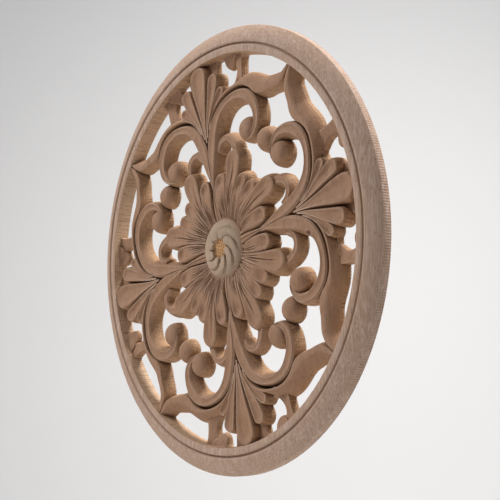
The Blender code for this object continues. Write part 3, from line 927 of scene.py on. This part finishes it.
def paleWood():
    # unpainted wood: growth rings, fibres, pores, edges lightened by wear and painted highlights, painted
    # shade in the creases, and cutter marks
    f = Finish("paleCarvedWood")
    place = f.node("TexCoord", result=3)
    # the grain's own axes, in millimetres: across it, into the board and along it
    toGrain = {"Rotation": (0.0, wood["grainTurn"], 0.0), "Scale": (1000.0, 1000.0, 1000.0)}
    grain = f.node("Mapping", {"vector_type": "POINT"}, {"Vector": place, **toGrain})
    across, depth, along = f.node("SeparateXYZ", {}, {0: grain}, (0, 1, 2))
    right, back, up = f.node("SeparateXYZ", {}, {0: place}, (0, 1, 2))
    fullTurn = 2.0 * math.pi

    def stretched(x, y, z):
        # the grain's axes, each scaled by its own factor
        return f.node("VectorMath", {"operation": "MULTIPLY"}, {0: grain, 1: (x, y, z)})

    def noise(vector, detail, roughness=0.5):
        sockets = {"Vector": vector, "Scale": 1.0, "Detail": detail, "Roughness": roughness}
        return f.node("TexNoise", {}, sockets)

    def occlusion(settings, reach):
        # how open the surface is within a reach in millimetres: 0 is shut in and 1 is open
        return f.node("AmbientOcclusion", {"only_local": True, **settings}, {"Distance": reach * mm}, 1)

    drift = noise(stretched(0.03, 0.03, 0.008), 3.0)
    # rings round an axis that lies below the board and leans against it
    aside = across - wood["ringCentre"][0]
    below = depth - wood["ringCentre"][1] + along * wood["ringLean"]
    ring = (aside ** 2.0 + below * below).root() + drift * wood["ringDrift"]
    band = (ring * (fullTurn / wood["ringPitch"])).wave() * 0.5 + 0.5
    lines = ((across + along * 0.8) * (fullTurn / wood["linePitch"])).wave()
    fibre = noise(stretched(1.3, 1.3, 0.055), 4.0, 0.6)
    fine = noise(stretched(4.0, 4.0, 0.3), 2.0)
    patch = noise(stretched(0.05, 0.08, 0.02), 2.0)
    mottle = noise(stretched(0.22, 0.22, 0.12), 3.0, 0.6)
    # a pore is the middle of a cell that is long along the grain, in a part of the cells
    cells = {"Vector": stretched(0.85, 0.85, 0.24), "Scale": 1.0}
    tint, distance = f.node("TexVoronoi", {}, cells, (1, 0))
    chosen = f.node("SeparateColor", {}, {0: tint})
    pore = (1.0 - distance.between(0.10, 0.26)) * chosen.between(0.55, 0.65)

    # walls stand square to the board, and the outer one is ribbed by the cutter
    outRight, out = f.node("SeparateXYZ", {}, {0: f.node("NewGeometry", result=1)}, (0, 1))
    wall = 1.0 - out.size().between(0.25, 0.75)
    radius = (right * right + up * up).root() * 1000.0
    outerWall = radius.between(*wood["outerWallFrom"]) * wall
    innerWall = wall * (1.0 - outerWall)
    # inside the rim, the walls that face sideways are painted paler: a painted highlight where light falls
    # on them
    rimWall = innerWall * radius.between(*wood["rimWallFrom"])
    sideWallHighlight = rimWall * outRight.size().between(0.2, 0.9)
    ribCount = round(fullTurn * rim["radius"] / wood["ribPitch"])
    ribs = (up.turnedFrom(right) * ribCount + mottle * 5.0).wave()
    ribLine = ribs.between(0.4, 0.98) * outerWall * mottle.between(0.35, 0.6)
    edge = 1.0 - occlusion({"samples": 8, "inside": True}, wood["edgeReach"])
    openness = occlusion({"samples": 12}, wood["creaseReach"])
    # open edges are lightened: partly wear, partly a painted highlight along them
    wearAndHighlight = edge.between(0.08, 0.36) * openness.between(0.6, 0.95) * (0.4 + mottle * 0.8)
    # painted shade: these masks darken the surface where it is shut in, in creases, grooves and corners
    crease = 1.0 - openness.between(0.25, 0.9)
    groove = 1.0 - openness.between(0.10, 0.5)
    streak = noise(stretched(0.9, 0.04, 0.9), 3.0, 0.7)
    # what is told apart by its radius is so only in front of the flat back
    front = (back * -1000.0).between(0.2, 1.2)
    whorl = (1.0 - radius.between(*wood["budTo"])) * front
    eye = (1.0 - radius.between(*wood["eyeTo"])) * front
    carved = (1.0 - radius.between(*wood["carvedTo"])) * front

    # tones, each laid over what is below it
    grainTone = (fibre + (mottle - fibre) * carved * 0.6).between(0.36, 0.66)
    colour = f.colours(grainTone, wood["dark"], wood["light"])
    colour = f.colours(band ** 3.0 * 0.30, colour, wood["dark"])
    colour = f.colours(mottle.between(0.40, 0.70) * 0.35, colour, wood["dark"])
    colour = f.colours(patch.between(0.35, 0.7) * 0.25, colour, wood["ochre"])
    colour = f.colours(fine.between(0.46, 0.66) * (0.16 + carved * 0.14), colour, wood["dark"])
    lineTone = lines * lines * (1.0 - wall) * mottle.between(0.45, 0.7)
    colour = f.colours(lineTone * 0.45, colour, wood["dark"])
    # the carved field inside the rim is multiplied darker: partly the rougher wood's own tone, partly
    # painted shade from its scoops
    colour = f.colours(carved * (1.0 - whorl), colour, wood["carvedToneAndShade"], "MULTIPLY")
    colour = f.colours(whorl * 0.6, colour, wood["budTone"])
    colour = f.colours(eye * 0.8, colour, wood["eyeTone"])
    # the inner walls are tinted ochre: partly the cut wood's tone, partly painted warm shade in the
    # openings
    colour = f.colours(innerWall * (0.35 + streak.between(0.4, 0.65) * 0.5), colour, wood["ochre"])
    colour = f.colours(wearAndHighlight * 0.75, colour, wood["wornAndHighlightTone"])
    # painted highlight: the sideways walls inside the rim get the paler wall tone
    colour = f.colours(sideWallHighlight * 0.7, colour, wood["sideWallHighlightTone"])
    # the painted crease shade is weaker on those sideways walls that carry the painted highlight
    keptCreaseShade = 1.0 - sideWallHighlight * 0.8
    # painted shade in the creases and grooves; the same dark tone also colours the knot, which is the
    # wood's own mark
    colour = f.colours(crease * (1.0 - eye) * keptCreaseShade * 0.62, colour, wood["shadeAndKnotTone"])
    colour = f.colours(groove * (0.34 + carved * 0.16) * keptCreaseShade, colour, wood["shadeAndKnotTone"])
    colour = f.colours(pore * 0.7, colour, wood["poreTone"])
    # painted shade: the inner walls are darkened between their streaks
    colour = f.colours(innerWall * (1.0 - streak.between(0.36, 0.5)) * 0.45, colour, wood["shadeAndKnotTone"])
    colour = f.colours(ribLine * 0.6, colour, wood["poreTone"])
    fromKnot = [right * 1000.0 - wood["knot"][0], up * 1000.0 - wood["knot"][1]]
    knotDistance = (fromKnot[0] ** 2.0 + fromKnot[1] ** 2.0).root()
    knot = (1.0 - (knotDistance + fibre * 1.5).between(*wood["knotTo"])) * front
    colour = f.colours(knot * 0.95, colour, wood["shadeAndKnotTone"])
    f.feed("Base Color", colour)
    f.feed("Roughness", 0.68 + fibre * 0.12 - wearAndHighlight * 0.1)

    # cutter marks: bricks on the walls, contour lines on the slopes, faint lines on the faces
    slope = wall.between(0.0, 0.6) * (1.0 - wall.between(0.8, 1.0))
    steps = (back * (fullTurn / (wood["brickPitch"] * mm))).wave()
    contours = (back * (fullTurn / (wood["contourPitch"] * mm))).wave()
    height = fibre * 0.34 + fine * 0.12 + pore * -0.25 + mottle * 0.45
    height = height + innerWall * (streak * 1.1 + steps * 0.2) + contours * slope * 0.09
    height = height + lines * (1.0 - wall) * carved * mottle * 0.14 + ribs * outerWall * 0.16
    bump = f.node("Bump", {}, {"Height": height, "Strength": 0.8, "Distance": wood["bumpDepth"] * mm})
    f.feed("Normal", bump)
    f.shader.inputs["Specular IOR Level"].default_value = 0.3
    return f.material


carving = carve()
carving.data.polygons.foreach_set("use_smooth", np.ones(len(carving.data.polygons), dtype=bool))
carving.data.set_sharp_from_angle(angle=math.radians(42.0))
carving.data.materials.clear()
carving.data.materials.append(paleWood())
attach(carving, "root")
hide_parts("carved_applique")
print("carving dressed")


# Studio: a pale seamless sweep, soft lights and the camera at the photograph's angle, in metres
studio = {
    "paper": (0.78, 0.77, 0.76, 1.0),
    "floorLevel": -0.75,
    "floorFrom": -4.0,
    "bendFrom": 1.6,
    "bendRadius": 1.0,
    "wallTop": 4.5,
    "halfWidth": 5.0,
    "bendPoints": 17,
    "away": (-0.782, 0.623),
    "roomTint": (0.9, 0.93, 1.0, 1.0),
    "roomStrength": 0.22,
    "cameraPlace": (0.58809, -0.47698, -0.21426),
    "cameraTurn": (105.967, 7.394, 53.540),
    "focal": 84.24,
    "shift": 0.0552,
}

# each light's place, size, power in watts and tint, and its aim where that isn't the middle of
# the disc
lights = {
    "keyLight": ((-0.48, -0.72, 0.95), 0.4, 12.0, (1.0, 0.98, 0.96)),
    "edgeLight": ((0.62, 0.45, 1.15), 0.5, 33.0, (1.0, 0.98, 0.96)),
    "lowLight": ((0.05, 0.30, -1.05), 0.5, 12.0, (1.0, 0.96, 0.92)),
    "nearFill": ((-0.20, -0.42, -0.36), 0.35, 0.6, (1.0, 0.97, 0.94)),
    "paperLight": ((-0.2, 1.0, 0.9), 1.5, 26.0, (1.0, 1.0, 1.0), (-2.0, 1.6, 0.7)),
}


def paperSweep():
    # a floor that curves up into a wall behind the disc: a profile of (distance away from the
    # camera, level), with a quarter circle for the bend, carried sideways
    bend = studio["bendRadius"]
    steps = np.linspace(0.0, math.pi / 2, studio["bendPoints"])
    distance = studio["bendFrom"] + bend * np.sin(steps)
    level = studio["floorLevel"] + bend * (1.0 - np.cos(steps))
    profile = np.concatenate([
        [[studio["floorFrom"], studio["floorLevel"]]],
        np.stack([distance, level], -1),
        [[studio["bendFrom"] + bend, studio["wallTop"]]],
    ])
    away = np.array(studio["away"])
    right = np.array([away[1], -away[0]])
    widths = np.array([-studio["halfWidth"], studio["halfWidth"]])
    x = profile[:, None, 0] * away[0] + widths[None, :] * right[0]
    y = profile[:, None, 0] * away[1] + widths[None, :] * right[1]
    z = profile[:, None, 1] * np.ones_like(x)
    vertices = np.stack([x, y, z], -1).reshape(-1, 3)
    mesh = filled(bpy.data.meshes.new("paperSweep"), vertices, quads(len(profile), 2, False))
    mesh.polygons.foreach_set("use_smooth", np.ones(len(mesh.polygons), dtype=bool))
    sweep = bpy.data.objects.new("paperSweep", mesh)
    bpy.context.scene.collection.objects.link(sweep)
    f = Finish("palePaper")
    f.shader.inputs["Base Color"].default_value = studio["paper"]
    f.shader.inputs["Roughness"].default_value = 0.9
    mesh.materials.append(f.material)
    return sweep


def softLight(name, place, size, power, tint, aim=(0.0, 0.0, 0.0)):
    # a square area light at a place, turned so that it looks at its aim
    lamp = bpy.data.lights.new(name, "AREA")
    lamp.size = size
    lamp.energy = power
    lamp.color = tint
    made = bpy.data.objects.new(name, lamp)
    made.location = place
    towards = mathutils.Vector(aim) - made.location
    made.rotation_euler = towards.to_track_quat("-Z", "Y").to_euler()
    made.visible_camera = False
    bpy.context.scene.collection.objects.link(made)


paperSweep()
for name, values in lights.items():
    softLight(name, *values)
world = bpy.data.worlds.new("softRoom")
world.use_nodes = True
room = world.node_tree.nodes["Background"]
room.inputs["Color"].default_value = studio["roomTint"]
room.inputs["Strength"].default_value = studio["roomStrength"]
bpy.context.scene.world = world
bpy.context.scene.view_settings.view_transform = "Standard"

lens = bpy.data.cameras.new("photoCamera")
lens.lens = studio["focal"]
lens.sensor_width = 36.0
lens.shift_x = studio["shift"]
lens.clip_start = 0.01
camera = bpy.data.objects.new("photoCamera", lens)
camera.location = studio["cameraPlace"]
camera.rotation_euler = [math.radians(a) for a in studio["cameraTurn"]]
bpy.context.scene.collection.objects.link(camera)
bpy.context.scene.camera = camera
print("studio lit")
